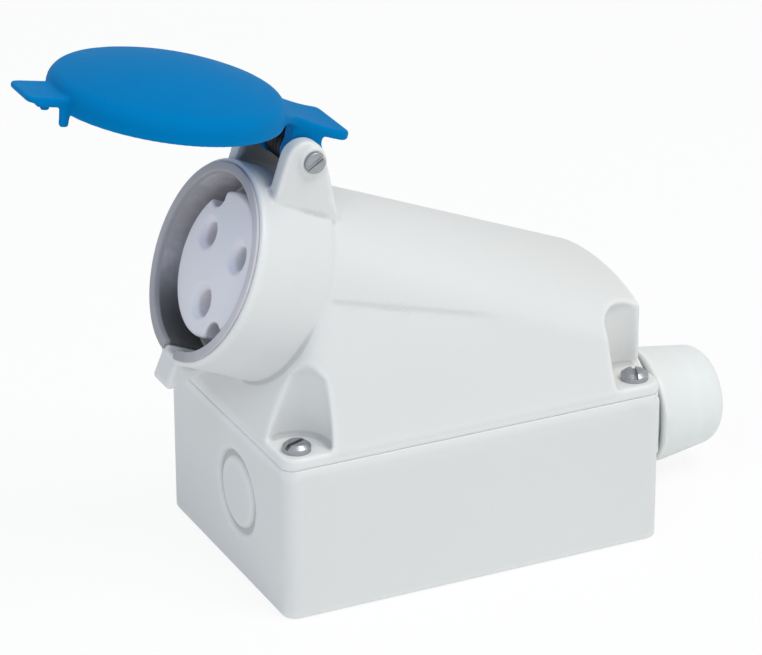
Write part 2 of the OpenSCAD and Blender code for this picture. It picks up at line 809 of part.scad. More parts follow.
// Flat sealing washer between the gland and the box
module gland_washer() {
    color(seal_colour) gland_frame() difference() {
        cylinder(r = hex_af / 2 + 0.6, h = washer_t);
        translate([0, 0, -1]) cylinder(r = gland_r + 0.05, h = cut);
    }
}

// Gland body: threaded spigot, hexagon and a neck for the cap nut
module gland_body() {
    color(shell_colour) gland_frame() difference() {
        union() {
            translate([0, 0, -thread_in]) cylinder(r = gland_r, h = thread_in + hex_back + eps);
            translate([0, 0, hex_back]) intersection() {
                hexagon(hex_af, hex_front - hex_back);
                cylinder(r1 = cap_r + 4, r2 = cap_r - 0.4, h = hex_front - hex_back);
            }
            translate([0, 0, hex_back]) cylinder(r = neck_r, h = neck_front - hex_back);
        }
        translate([0, 0, -cut / 2]) cylinder(r = cable_r + 1, h = cut);
        translate([0, 0, seal_back]) cylinder(r = seal_r, h = cut);
    }
}

// Locknut inside the box
module gland_locknut() {
    color(shell_colour) gland_frame() translate([0, 0, -wall - locknut_t]) difference() {
        hexagon(locknut_af, locknut_t);
        translate([0, 0, -1]) cylinder(r = gland_r + 0.05, h = cut);
    }
}

// Rubber bush that closes on the cable
module gland_seal() {
    color(seal_colour) gland_frame() difference() {
        translate([0, 0, seal_back]) cylinder(r = seal_r - 0.05, h = seal_front - seal_back);
        translate([0, 0, -1]) cylinder(r = cable_r, h = cut);
    }
}

// Loose ring that spreads the cap nut's push over the bush
module gland_clamp() {
    color(carrier_colour) gland_frame() translate([0, 0, seal_front]) difference() {
        cylinder(r = seal_r - fit_gap, h = clamp_t);
        translate([0, 0, -1]) cylinder(r = cable_r + 0.6, h = cut);
    }
}

// Section of the cap nut: a tapered skirt and a rounded front
module cap_section() {
    polygon(concat(
        [[neck_r + turn_gap, cap_back], [cap_r, cap_back], [cap_mid_r, cap_mid]],
        arc([cap_mid_r - cap_end_r - 0.6, cap_front - cap_end_r], cap_end_r, 8, 90, 8),
        [[cable_r + 1.6, cap_front], [cable_r + 1.6, seal_front + clamp_t + turn_gap],
         [neck_r + turn_gap, seal_front + clamp_t + turn_gap]]
    ));
}

// Cap nut that closes the gland on the cable
module gland_cap() {
    color(shell_colour) gland_frame() intersection() {
        rotate_extrude() cap_section();
        hexagon(cap_af, cut);
    }
}

back_box();
box_gasket();
cover();
cover_screws();
mouth_seal();
contact_carrier();
carrier_base();
carrier_screws();
line_contact();
neutral_contact();
earth_contact();
contact_retainer();
retainer_screw();
terminal_screws();
lid();
hinge_pin();
pin_clip();
lid_spring();
gland_washer();
gland_body();
gland_locknut();
gland_seal();
gland_clamp();
gland_cap();
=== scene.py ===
"""Dresses a surface mounted power socket with moulded forms and finishes, and sets a studio around it."""

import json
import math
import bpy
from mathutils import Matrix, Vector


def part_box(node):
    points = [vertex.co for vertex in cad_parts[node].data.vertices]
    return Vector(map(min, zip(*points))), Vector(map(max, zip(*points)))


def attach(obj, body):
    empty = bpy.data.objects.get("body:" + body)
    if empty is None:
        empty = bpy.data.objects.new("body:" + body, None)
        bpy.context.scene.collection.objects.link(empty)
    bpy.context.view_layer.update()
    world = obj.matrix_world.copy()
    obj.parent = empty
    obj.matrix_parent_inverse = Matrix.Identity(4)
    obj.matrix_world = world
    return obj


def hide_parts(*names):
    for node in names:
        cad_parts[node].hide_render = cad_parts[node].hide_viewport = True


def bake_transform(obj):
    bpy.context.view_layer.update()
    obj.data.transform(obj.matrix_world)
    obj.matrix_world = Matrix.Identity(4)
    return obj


bl_info = {
    "name": "Surface Mounted Socket",
    "version": (1, 0, 0),
    "blender": (4, 5, 0),
    "location": "3D View > Sidebar > Socket",
    "description": "Moulded housing, sprung lid, contacts and cable gland of a surface mounted power socket",
    "category": "Object",
}

import bpy
import numpy as np
import openvdb as vdb
from bpy.props import FloatProperty, FloatVectorProperty, PointerProperty
from mathutils import Matrix, Vector

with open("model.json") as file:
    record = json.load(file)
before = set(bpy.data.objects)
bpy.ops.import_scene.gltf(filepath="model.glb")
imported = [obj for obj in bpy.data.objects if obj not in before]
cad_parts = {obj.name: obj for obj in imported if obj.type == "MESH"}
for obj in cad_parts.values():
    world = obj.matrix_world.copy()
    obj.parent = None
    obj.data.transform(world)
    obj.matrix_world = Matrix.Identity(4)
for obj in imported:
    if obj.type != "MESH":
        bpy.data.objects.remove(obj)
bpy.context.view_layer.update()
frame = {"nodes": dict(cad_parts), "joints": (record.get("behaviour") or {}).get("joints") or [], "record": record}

# The plane where the cover meets the box
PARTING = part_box("back_box")[1].z
# The end face of the box, below the mouth
BOX_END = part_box("back_box")[0].x
# The hinge of the lid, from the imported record
HINGE = next(j for j in frame["joints"] if j["name"] == "lid_hinge")
HINGE_POINT = Vector(HINGE["pos_m"])
# The way out of the mouth, the way up across it and the way to its near side, towards which the seal's lip is
# painted lighter
MOUTH = next(m for m in frame["record"]["mounts"] if m["name"] == "plug_mouth")
MOUTH_POINT = Vector(MOUTH["pos_m"])
MOUTH_OUT = Vector(MOUTH["axis"]).normalized()
MOUTH_UP = Vector((0, 1, 0)).cross(MOUTH_OUT)
NEAR_SIDE = Vector((0, -1, 0))

# Half width of a moulding's distance field, in cells
BAND = 6
# Distance from a crisp edge at which the rounding is whole
CRISP_REACH = 0.002
# How far the flat parts of a moulding may be made coarser, and its most triangles
FLATTEN = 0.02
MOST_TRIANGLES = 150000
# Smoothing passes that find the edges, and the bend that counts as a whole edge, in cells
EDGE_PASSES = 4
EDGE_BEND = 0.6
# Ends of the edge attribute: deep painted shade lies at the low end, dust with painted shade between that and 0,
# wear above 0
EDGE_LOW, EDGE_HIGH = -2, 1
# Reach of the slopes that give the normals, in cells
NORMAL_REACH = 0.75

# The knockout ring in the box's end face: its centre, its outer radius and the depth of its groove
KNOCKOUT_Y, KNOCKOUT_Z = -0.006, 0.022
KNOCKOUT_RADIUS = 0.0112
KNOCKOUT_DEPTH = 0.0014
# Nothing deeper than this belongs to the groove
KNOCKOUT_DEEPEST = 0.00168
# Half of the gap between the hinge ears, and the painted shade in it under the lid: its reach from the pin and its
# fade
EAR_GAP = 0.0103
HINGE_SHADE_REACH = 0.008
HINGE_SHADE_FADE = 0.006
# The soft crease along each flank of the hood: its ends, its height at the first end, its fall and its depth
CREASE_START, CREASE_END = -0.036, 0.014
CREASE_HEIGHT = 0.0785
CREASE_FALL = 0.253
CREASE_DEPTH = 0.0008
# The crease's step, its tail below the step, its fades at both ends and where the flanks begin
CREASE_STEP = 0.0022
CREASE_TAIL = 0.016
CREASE_FADE_IN, CREASE_FADE_OUT = 0.003, 0.014
FLANK = 0.02

# A screw's head: the share of its height below the dome, and the dome's top as a share of the radius
HEAD_WALL = 0.62
DOME_TOP = 0.7
# Length of the slot's cutter in head radii, and the sides of the head and the shank
SLOT_LENGTH = 3.0
HEAD_SIDES, SHANK_SIDES = 40, 24
# How far each cover screw is turned, in radians
SCREW_TURNS = [0.35, 2.1, 1.2, 2.7]
# The lid spring: its turns, the steps in a turn, half of its length and the sides of its wire
SPRING_TURNS = 4.5
SPRING_STEPS = 36
SPRING_REACH = 0.0042
WIRE_SIDES = 14
# The spring's ends: the seat's height in the mouth, the press's height over the pin, and both behind the pin
SEAT_UP, SEAT_BACK = 0.0264, 0.0086
PRESS_UP, PRESS_BACK = 0.0046, 0.00513

# The image in pixels: its size, its focal length and where the point that is aimed at falls
IMAGE_WIDTH, IMAGE_HEIGHT = 762, 655
FOCAL = 3964.96
AIM_X, AIM_Y = 413.609, 342.686
# Width of the sensor in millimetres
SENSOR = 36.0
# The point that the camera and the lamps aim at
AIM = Vector((0, 0, 0.05))
# Each lamp: its place, its width and its colour
LAMPS = {
    "key": ((0.35, -0.52, 1.14), 0.7, (1.0, 0.98, 0.945)),
    "fill": ((-0.75, -0.5, 0.85), 0.6, (0.7, 0.84, 1.0)),
}
# The floor: half of its width, its height, and the share of plain white that the camera sees in it
FLOOR_REACH = 4.0
FLOOR_HEIGHT = -0.0001
FLOOR_WHITE = 0.88
# The share of plain white that reflections see in the room
ROOM_WHITE = 0.6


# Sizes and colours that a user may change

def length_value(name, text, default, low, high):
    """A size of a piece."""
    return FloatProperty(
        name=name, description=text, default=default, min=low, max=high, unit="LENGTH", precision=5)


def colour_value(name, text, default):
    """A colour of a finish."""
    return FloatVectorProperty(
        name=name, description=text, default=default, min=0, max=1, size=3, subtype="COLOR")


class SocketSizes(bpy.types.PropertyGroup):
    """Sizes of the dressed pieces."""
    voxel: length_value("Mould Detail", "Cell size that mouldings are rounded in", 0.00045, 0.0003, 0.001)
    edge_round: length_value("Edge Rounding", "Softening of the mouldings' edges", 0.0005, 0.0002, 0.0015)
    screw_head: length_value("Screw Head", "Radius of a cover screw's head", 0.0035, 0.002, 0.004)
    screw_height: length_value("Screw Height", "Height of a cover screw's head", 0.0022, 0.0014, 0.0024)
    screw_shank: length_value("Screw Shank", "Radius of a cover screw's shank", 0.002, 0.001, 0.002)
    screw_slot: length_value("Screw Slot", "Width of the slot in a screw's head", 0.0011, 0.0006, 0.0016)
    wire: length_value("Spring Wire", "Radius of the lid spring's wire", 0.0007, 0.0004, 0.0008)
    coil: length_value("Spring Coil", "Mean radius of the lid spring's coil", 0.004, 0.0034, 0.0044)


class SocketColours(bpy.types.PropertyGroup):
    """Colours of the finishes."""
    shell: colour_value("Shell", "Light grey of the box and the cover", (0.77, 0.768, 0.757))
    lid: colour_value("Lid", "Blue of the lid", (0.0004, 0.19, 0.48))
    carrier: colour_value("Carrier", "Pale grey of the contact carrier", (0.89, 0.86, 0.9))
    seal: colour_value("Seal", "Grey of the rubber seals", (0.57, 0.55, 0.58))
    brass: colour_value("Brass", "Brass of the contacts", (0.62, 0.42, 0.14))
    gland: colour_value("Gland", "Paler grey of the cable gland", (0.84, 0.86, 0.85))
    steel: colour_value("Steel", "Plated steel of the screws and the pin", (0.36, 0.37, 0.39))
    spring: colour_value("Spring", "Dark steel of the lid spring", (0.035, 0.036, 0.04))


class SocketStage(bpy.types.PropertyGroup):
    """Place of the camera and strength of the studio."""
    azimuth: FloatProperty(
        name="Azimuth", description="Camera's angle round the socket",
        default=math.radians(-26.126), subtype="ANGLE")
    elevation: FloatProperty(
        name="Elevation", description="Camera's angle above the floor",
        default=math.radians(24.556), subtype="ANGLE")
    distance: FloatProperty(
        name="Distance", description="Camera's distance from the middle of the socket",
        default=1.0, min=0.4, max=3, unit="LENGTH")
    ambient: FloatProperty(
        name="Room Light", description="Strength of the even light of the room", default=0.56, min=0, max=2)
    key: FloatProperty(
        name="Key Light", description="Power of the main lamp", default=6.7, min=0, max=60, unit="POWER")
    fill: FloatProperty(
        name="Fill Light", description="Power of the cool lamp by the mouth",
        default=1.95, min=0, max=60, unit="POWER")


# Shader writing

class Term:
    """A value in a shader tree: arithmetic on it adds Math nodes."""

    def __init__(self, paint, socket):
        self.paint = paint
        self.socket = socket

    def math(self, operation, first, second):
        node = self.paint.node("ShaderNodeMath", {"operation": operation}, {0: first, 1: second})
        return Term(self.paint, node.outputs[0])

    def __add__(self, other):
        return self.math("ADD", self, other)

    __radd__ = __add__

    def __sub__(self, other):
        return self.math("SUBTRACT", self, other)

    def __rsub__(self, other):
        return self.math("SUBTRACT", other, self)

    def __mul__(self, other):
        return self.math("MULTIPLY", self, other)

    __rmul__ = __mul__

    def most(self, other):
        return self.math("MAXIMUM", self, other)


class Paint:
    """A material or world whose node tree is being written."""

    def __init__(self, owner):
        owner.use_nodes = True
        self.tree = owner.node_tree
        self.tree.nodes.clear()

    def node(self, kind, settings=None, inputs=None):
        """Any node: its settings first, then its inputs."""
        made = self.tree.nodes.new(kind)
        for key, value in (settings or {}).items():
            setattr(made, key, value)
        for key, value in (inputs or {}).items():
            socket = made.inputs[key]
            if isinstance(value, Term):
                value = value.socket
            if isinstance(value, bpy.types.NodeSocket):
                self.tree.links.new(value, socket)
            else:
                socket.default_value = value
        return made

    def places(self):
        """Object coordinates."""
        return self.node("ShaderNodeTexCoord").outputs["Object"]

    def along(self, places, start, way):
        """Distance from a start along a way."""
        made = self.node("ShaderNodeVectorMath", {"operation": "DOT_PRODUCT"}, {0: places, 1: tuple(way)})
        return Term(self, made.outputs["Value"]) - start.dot(way)

    def noise(self, places, scale, detail, rough, stretch=None):
        """Noise from 0 to 1, finer along the axes that are stretched more."""
        if stretch:
            places = self.node("ShaderNodeMapping", None, {"Vector": places, "Scale": stretch}).outputs[0]
        made = self.node("ShaderNodeTexNoise", None, {
            "Vector": places, "Scale": scale, "Detail": detail, "Roughness": rough})
        return Term(self, made.outputs["Fac"])

    def ramp(self, value, low, high):
        """A smooth step from 0 at low to 1 at high."""
        made = self.node("ShaderNodeMapRange", {"clamp": True, "interpolation_type": "SMOOTHSTEP"}, {
            "Value": value, "From Min": low, "From Max": high})
        return Term(self, made.outputs["Result"])

    def mix(self, share, first, second):
        """The first colour, with a share of the second."""
        made = self.node("ShaderNodeMix", {"data_type": "RGBA"}, {0: share, 6: first, 7: second})
        return made.outputs[2]

    def bump(self, height, distance, strength, normal=None):
        """A normal bent by a height, over another normal if one is given."""
        inputs = {"Height": height, "Distance": distance, "Strength": strength}
        if normal is not None:
            inputs["Normal"] = normal
        return self.node("ShaderNodeBump", None, inputs).outputs["Normal"]

    def surface(self, **inputs):
        """The material's one shader, with its inputs named in small letters."""
        names = {key.replace("_", " ").title().replace("Ior", "IOR"): value for key, value in inputs.items()}
        shader = self.node("ShaderNodeBsdfPrincipled", None, names)
        self.node("ShaderNodeOutputMaterial", None, {"Surface": shader.outputs[0]})


def shade(colour, factor):
    """A colour with full cover, made lighter or darker."""
    return tuple(min(1.0, c * factor) for c in colour) + (1.0,)


def moulded_plastic(name, colour, rough, grain, mottle, shine=0.45, glint=(1.0, 1.0, 1.0, 1.0)):
    """Satin moulded plastic: faint flow marks, fine spark texture, worn edges, dusty hollows with painted shade,
    and deep painted shade where a caller marks it.
    """
    material = bpy.data.materials.new(name)
    paint = Paint(material)
    places = paint.places()
    flow = paint.noise(places, scale=30.0, detail=4.0, rough=0.55, stretch=(1.0, 2.2, 1.4))
    rubbed_and_side_light = paint.ramp(paint.noise(places, scale=95.0, detail=5.0, rough=0.6), 0.55, 0.75)
    grime = paint.ramp(paint.noise(places, scale=210.0, detail=6.0, rough=0.7), 0.6, 0.8)
    spark = paint.noise(places, scale=3200.0, detail=2.0, rough=0.6)
    peel = paint.noise(places, scale=420.0, detail=2.0, rough=0.5)
    edge = Term(paint, paint.node("ShaderNodeAttribute", {"attribute_name": "edge"}).outputs["Fac"])
    worn = paint.ramp(edge, 0.3, 1.0)
    # Dust with painted shade in the hollows, where the surface bends inwards
    dust_and_shade = paint.ramp(edge * -1, 0.18, 0.7)
    # Deep painted shade where a caller pushes the edge value below -1, as between the hinge ears
    painted_deep_shade = paint.ramp(edge * -1, 1.0, 2.0)
    base = paint.mix(flow, shade(colour, 1 - mottle), shade(colour, 1 + mottle))
    # Each layer on top: where it lies, how much it covers and how light it is
    layers = ((grime, 0.12, 0.82), (worn, 0.6, 1.12), (dust_and_shade, 0.6, 0.6), (painted_deep_shade, 0.8, 0.16))
    for layer, cover, light in layers:
        base = paint.mix(layer * cover, base, shade(colour, light))
    wavy = paint.bump(peel, distance=0.00003, strength=0.25)
    polish = 0.07 * rubbed_and_side_light + 0.06 * worn + 0.2 * painted_deep_shade
    paint.surface(
        base_color=base,
        roughness=rough + 0.1 * flow + 0.05 * grime + 0.2 * dust_and_shade - polish,
        normal=paint.bump(spark, distance=grain, strength=0.35, normal=wavy),
        specular_ior_level=shine,
        specular_tint=glint,
    )
    return material


def seal_rubber(name, colour):
    """Grey moulded rubber: dull bloom, pitted skin, a lip painted lighter on one side and darker on the other, and
    painted shade towards the bottom of the mouth.
    """
    material = bpy.data.materials.new(name)
    paint = Paint(material)
    places = paint.places()
    bloom = paint.ramp(paint.noise(places, scale=140.0, detail=5.0, rough=0.65), 0.4, 0.75)
    pits = paint.noise(places, scale=1900.0, detail=3.0, rough=0.6)
    # Distances in metres from the middle of the mouth's rim
    lip = paint.ramp(paint.along(places, MOUTH_POINT, MOUTH_OUT), -0.0011, -0.0003)
    # Painted shade towards the bottom of the mouth, where the carrier shades the seal
    painted_bottom_shade = 1 - paint.ramp(paint.along(places, MOUTH_POINT, MOUTH_UP), -0.02, -0.004)
    # The lip is painted lighter on the near side and darker on the far side, as if lit from the front
    near = paint.ramp(paint.along(places, MOUTH_POINT, NEAR_SIDE), 0.004, 0.022)
    base = paint.mix(bloom, shade(colour, 0.9), shade(colour, 1.2))
    base = paint.mix(painted_bottom_shade, base, shade(colour, 0.2))
    rubbed_and_side_light = paint.mix(near, shade(colour, 0.82), shade(colour, 1.15))
    paint.surface(
        base_color=paint.mix(lip * (0.8 + 0.15 * bloom), base, rubbed_and_side_light),
        roughness=0.62 + 0.16 * bloom,
        normal=paint.bump(pits, distance=0.00004, strength=0.4),
        specular_ior_level=0.35,
    )
    return material


def worked_metal(name, colour, rough, stretch):
    """Turned or plated metal with fine tool lines, light tarnish and brighter rubbed spots."""
    material = bpy.data.materials.new(name)
    paint = Paint(material)
    places = paint.places()
    lines = paint.noise(places, scale=900.0, detail=3.0, rough=0.6, stretch=stretch)
    tarnish = paint.ramp(paint.noise(places, scale=260.0, detail=5.0, rough=0.6), 0.45, 0.8)
    paint.surface(
        base_color=paint.mix(tarnish, shade(colour, 1.1), shade(colour, 0.66)),
        roughness=rough + 0.12 * lines + 0.14 * tarnish,
        metallic=1.0,
        normal=paint.bump(lines, distance=0.00002, strength=0.3),
    )
    return material


# Each finish: what makes it, its colour and its own values
FINISHES = {
    "shell_grey": (moulded_plastic, "shell", {"rough": 0.36, "grain": 0.000018, "mottle": 0.012}),
    "gland_pale": (moulded_plastic, "gland", {"rough": 0.36, "grain": 0.000018, "mottle": 0.012}),
    "carrier_grey": (moulded_plastic, "carrier", {"rough": 0.45, "grain": 0.00002, "mottle": 0.02}),
    "lid_blue": (moulded_plastic, "lid", {
        "rough": 0.56, "grain": 0.000015, "mottle": 0.05, "shine": 0.05, "glint": (0.05, 0.7, 1.0, 1.0)}),
    "seal_dark": (seal_rubber, "seal", {}),
    "contact_brass": (worked_metal, "brass", {"rough": 0.26, "stretch": (1.0, 6.0, 6.0)}),
    "plated_steel": (worked_metal, "steel", {"rough": 0.3, "stretch": (5.0, 5.0, 1.0)}),
    "spring_dark": (worked_metal, "spring", {"rough": 0.42, "stretch": (4.0, 1.0, 4.0)}),
}


def finish(name):
    """The named finish, made once."""
    if name in bpy.data.materials:
        return bpy.data.materials[name]
    maker, colour, values = FINISHES[name]
    return maker(name, getattr(bpy.context.scene.socket_colours, colour), **values)


# Objects

def placed(name, mesh, material):
    """A new object at the origin with one finish."""
    made = bpy.data.objects.new(name, mesh)
    bpy.context.scene.collection.objects.link(made)
    mesh.materials.clear()
    mesh.materials.append(material)
    return made


def keep_result(made):
    """Turns what the object's modifiers make into its own plain mesh."""
    bpy.context.view_layer.update()
    result = bpy.data.meshes.new_from_object(made.evaluated_get(bpy.context.evaluated_depsgraph_get()))
    old = made.data
    made.modifiers.clear()
    made.data = result
    result.name = made.name
    bpy.data.meshes.remove(old)


def stands_for(made, body, slot, *nodes):
    """The piece rides on a body and takes the place of CAD nodes."""
    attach(made, body)
    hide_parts(*nodes)


def refinish(material, *nodes):
    """CAD nodes that keep their shape get a finish."""
    for name in nodes:
        shown = frame["nodes"][name]
        for place in shown.material_slots:
            place.link = "OBJECT"
            place.material = material


# Mouldings

def mesh_points(mesh):
    """Places of a mesh's points."""
    points = np.empty(len(mesh.vertices) * 3, np.float32)
    mesh.vertices.foreach_get("co", points)
    return points.reshape(-1, 3)


def distance_field(node, voxel):
    """Distances from a CAD node's surface, less than 0 inside, and the index of the first cell."""
    mesh = frame["nodes"][node].data
    mesh.calc_loop_triangles()
    points = mesh_points(mesh)
    triangles = np.empty(len(mesh.loop_triangles) * 3, np.int32)
    mesh.loop_triangles.foreach_get("vertices", triangles)
    grid = vdb.FloatGrid.createLevelSetFromPolygons(
        points, triangles=triangles.reshape(-1, 3), transform=vdb.createLinearTransform(voxelSize=voxel),
        halfWidth=BAND)
    low = np.floor(points.min(axis=0) / voxel).astype(int) - BAND
    high = np.ceil(points.max(axis=0) / voxel).astype(int) + BAND
    field = np.full(tuple(high - low + 1), BAND * voxel, np.float32)
    grid.copyToArray(field, ijk=tuple(int(i) for i in low))
    return field, low


def softened(field, passes):
    """A distance field smoothed by a small bell kernel along each axis."""
    for _ in range(passes):
        for axis in range(3):
            wide = np.concatenate([field.take([0, 0], axis), field, field.take([-1, -1], axis)], axis)
            count = field.shape[axis]

            def part(start):
                return wide.take(range(start, start + count), axis)

            field = (part(0) + part(4) + 4 * (part(1) + part(3)) + 6 * part(2)) / 16
    return field


def sampled(field, spots):
    """Values of a field between its cells."""
    low = np.clip(np.floor(spots).astype(int), 0, np.array(field.shape) - 2)
    part = spots - low
    total = np.zeros(len(spots))
    for corner in np.ndindex(2, 2, 2):
        weight = np.prod(np.where(corner, part, 1 - part), axis=1)
        at = low + corner
        total += weight * field[at[:, 0], at[:, 1], at[:, 2]]
    return total


def eased(value):
    """A smooth step from 0 to 1."""
    value = np.clip(value, 0, 1)
    return value * value * (3 - 2 * value)


def creased(field, x, y, z):
    """The cover's field with a shallow crease along each flank, steep above and easing out below."""
    below = (CREASE_HEIGHT - CREASE_FALL * (x - CREASE_START))[:, None] - z[None, :]
    along = eased((x - CREASE_START) / CREASE_FADE_IN)
    along = along * (1 - eased((x - CREASE_END + CREASE_FADE_OUT) / CREASE_FADE_OUT))
    tail = np.clip(1 - below / CREASE_TAIL, 0, 1) ** 2
    depth = CREASE_DEPTH * along[:, None] * eased(below / CREASE_STEP + 0.5) * tail
    flank = np.abs(y) > FLANK
    return field + (depth[:, None, :] * flank[None, :, None]).astype(np.float32)


def knockout_painted_shade(points):
    """How much painted shade lies at each point of the box: in the groove of the knockout ring, where shade falls.
    """
    sunk = points[:, 0] - BOX_END
    reach = np.hypot(points[:, 1] - KNOCKOUT_Y, points[:, 2] - KNOCKOUT_Z)
    return np.clip(sunk / KNOCKOUT_DEPTH, 0, 1) * (sunk < KNOCKOUT_DEEPEST) * (reach < KNOCKOUT_RADIUS)


def hinge_painted_shade(points):
    """How much painted shade lies at each point of the cover: over 1, a deep painted shade between the hinge ears
    under the lid.
    """
    away = np.hypot(points[:, 0] - HINGE_POINT.x, points[:, 2] - HINGE_POINT.z)
    return -EDGE_LOW * (1 - eased((away - HINGE_SHADE_REACH) / HINGE_SHADE_FADE)) * (np.abs(points[:, 1]) < EAR_GAP)


def field_mesh(name, field, low, voxel):
    """The surface of a distance field."""
    grid = vdb.FloatGrid(BAND * voxel)
    grid.copyFromArray(np.ascontiguousarray(field, np.float32), ijk=tuple(int(i) for i in low))
    grid.transform = vdb.createLinearTransform(voxelSize=voxel)
    points, thirds, quads = grid.convertToPolygons(isovalue=0.0, adaptivity=FLATTEN)
    mesh = bpy.data.meshes.new(name)
    mesh.from_pydata(points.tolist(), [], [f[::-1] for f in thirds.tolist() + quads.tolist()])
    mesh.validate()
    return mesh


def thin(made):
    """Brings an object under the most triangles."""
    count = sum(len(p.vertices) - 2 for p in made.data.polygons)
    if count > MOST_TRIANGLES:
        layer = made.modifiers.new("thin", "DECIMATE")
        layer.ratio = MOST_TRIANGLES / count
        keep_result(made)


def smooth_normals(mesh, field, cells):
    """Gives a mesh the normals of its distance field."""
    normals = np.zeros((len(cells), 3))
    for axis in range(3):
        step = np.zeros(3)
        step[axis] = NORMAL_REACH
        normals[:, axis] = sampled(field, cells + step) - sampled(field, cells - step)
    normals /= np.maximum(np.linalg.norm(normals, axis=1, keepdims=True), 1e-12)
    first = mesh.polygons[0]
    if np.array(first.normal) @ normals[first.vertices[0]] < 0:
        mesh.flip_normals()
    mesh.shade_smooth()
    mesh.normals_split_custom_set_from_vertices(normals)


def moulding(name, node, material, voxel=None, rounding=None, crisp=None, relief=None, dust_and_shade=None):
    """A CAD node with rounded edges and smooth normals.

    Edges stay sharp at the height crisp. relief changes the distance field and the last argument says where
    painted shade is added to the dusty hollows.
    """
    sizes = bpy.context.scene.socket_sizes
    voxel = voxel or sizes.voxel
    rounding = rounding or sizes.edge_round
    sharp, low = distance_field(node, voxel)
    field = softened(sharp, max(1, round((rounding / voxel) ** 2)))
    axes = [(np.arange(count) + start) * voxel for count, start in zip(field.shape, low)]
    if crisp is not None:
        share = eased(np.abs(axes[2] - crisp) / CRISP_REACH).astype(np.float32)
        field = sharp + (field - sharp) * share
    if relief:
        field = relief(field, *axes)
    made = placed(name, field_mesh(name, field, low, voxel), material)
    thin(made)
    points = mesh_points(made.data)
    cells = points / voxel - low
    bend = (sampled(softened(field, EDGE_PASSES), cells) - sampled(field, cells)) / (EDGE_BEND * voxel)
    # Painted shade added where the caller marks it
    if dust_and_shade:
        bend -= dust_and_shade(points)
    edge = made.data.attributes.new("edge", "FLOAT", "POINT")
    edge.data.foreach_set("value", np.clip(bend, EDGE_LOW, EDGE_HIGH))
    smooth_normals(made.data, field, cells)
    return made


# Geometry node trees

class Weave:
    """A geometry node tree that is being written, with named sizes as its inputs."""

    def __init__(self, name, sizes):
        self.tree = bpy.data.node_groups.new(name, "GeometryNodeTree")
        face = self.tree.interface
        face.new_socket("Geometry", in_out="INPUT", socket_type="NodeSocketGeometry")
        face.new_socket("Geometry", in_out="OUTPUT", socket_type="NodeSocketGeometry")
        self.names = {}
        for label in sizes:
            socket = face.new_socket(label, in_out="INPUT", socket_type="NodeSocketFloat")
            self.names[label] = socket.identifier
        self.given = self.tree.nodes.new("NodeGroupInput").outputs

    def node(self, kind, settings=None, inputs=None):
        """Any node's first output: the settings first, then the inputs, with a list for many links."""
        made = self.tree.nodes.new(kind)
        for key, value in (settings or {}).items():
            setattr(made, key, value)
        for key, value in (inputs or {}).items():
            socket = made.inputs[key]
            for each in value if isinstance(value, list) else [value]:
                if isinstance(each, bpy.types.NodeSocket):
                    self.tree.links.new(each, socket)
                else:
                    socket.default_value = each
        return made.outputs[0]

    def times(self, size, factor):
        """A size times a number."""
        return self.node("ShaderNodeMath", {"operation": "MULTIPLY"}, {0: size, 1: factor})

    def cone(self, sides, top, bottom, depth):
        """A cone or cylinder that stands on the origin."""
        return self.node("GeometryNodeMeshCone", None, {
            "Vertices": sides, "Radius Top": top, "Radius Bottom": bottom, "Depth": depth})

    def raised(self, geometry, height):
        """A geometry moved up."""
        way = self.node("ShaderNodeCombineXYZ", None, {2: height})
        return self.node("GeometryNodeTransform", None, {"Geometry": geometry, "Translation": way})

    def end(self, geometry, material):
        """Closes the tree with plain geometry in one finish."""
        real = self.node("GeometryNodeRealizeInstances", None, {"Geometry": geometry})
        done = self.node("GeometryNodeSetMaterial", None, {"Geometry": real, "Material": material})
        out = self.tree.nodes.new("NodeGroupOutput")
        self.tree.links.new(done, out.inputs[0])

    def run(self, made, **sizes):
        """Puts the tree on an object with its sizes and keeps what it makes."""
        layer = made.modifiers.new("weave", "NODES")
        layer.node_group = self.tree
        for label, value in sizes.items():
            layer[self.names[label.title()]] = value
        keep_result(made)


def screw_tree(material):
    """Slotted pan head screws, one on each point, each turned by its own angle."""
    weave = Weave("screws", ["Head", "Height", "Shank", "Length", "Slot"])
    head, height, shank, length = (weave.given[label] for label in ("Head", "Height", "Shank", "Length"))
    wall = weave.times(height, HEAD_WALL)
    dome = weave.cone(HEAD_SIDES, weave.times(head, DOME_TOP), head, weave.times(height, 1 - HEAD_WALL))
    stem = weave.cone(SHANK_SIDES, shank, shank, length)
    solid = weave.node("GeometryNodeMeshBoolean", {"operation": "UNION", "solver": "EXACT"}, {
        "Mesh 2": [
            weave.cone(HEAD_SIDES, head, head, wall),
            weave.raised(dome, wall),
            weave.raised(stem, weave.times(length, -1.0)),
        ]})
    slot_size = weave.node("ShaderNodeCombineXYZ", None, {
        0: weave.times(head, SLOT_LENGTH), 1: weave.given["Slot"], 2: height})
    slot = weave.node("GeometryNodeMeshCube", None, {"Size": slot_size})
    cut = weave.node("GeometryNodeMeshBoolean", {"operation": "DIFFERENCE", "solver": "EXACT"}, {
        "Mesh 1": solid, "Mesh 2": weave.raised(slot, height)})
    angle = weave.node("GeometryNodeInputNamedAttribute", {"data_type": "FLOAT"}, {"Name": "turn"})
    turn = weave.node("ShaderNodeCombineXYZ", None, {2: angle})
    points = weave.node("GeometryNodeMeshToPoints", None, {"Mesh": weave.given["Geometry"]})
    spread = weave.node("GeometryNodeInstanceOnPoints", None, {
        "Points": points, "Instance": cut, "Rotation": turn})
    weave.end(spread, material)
    return weave


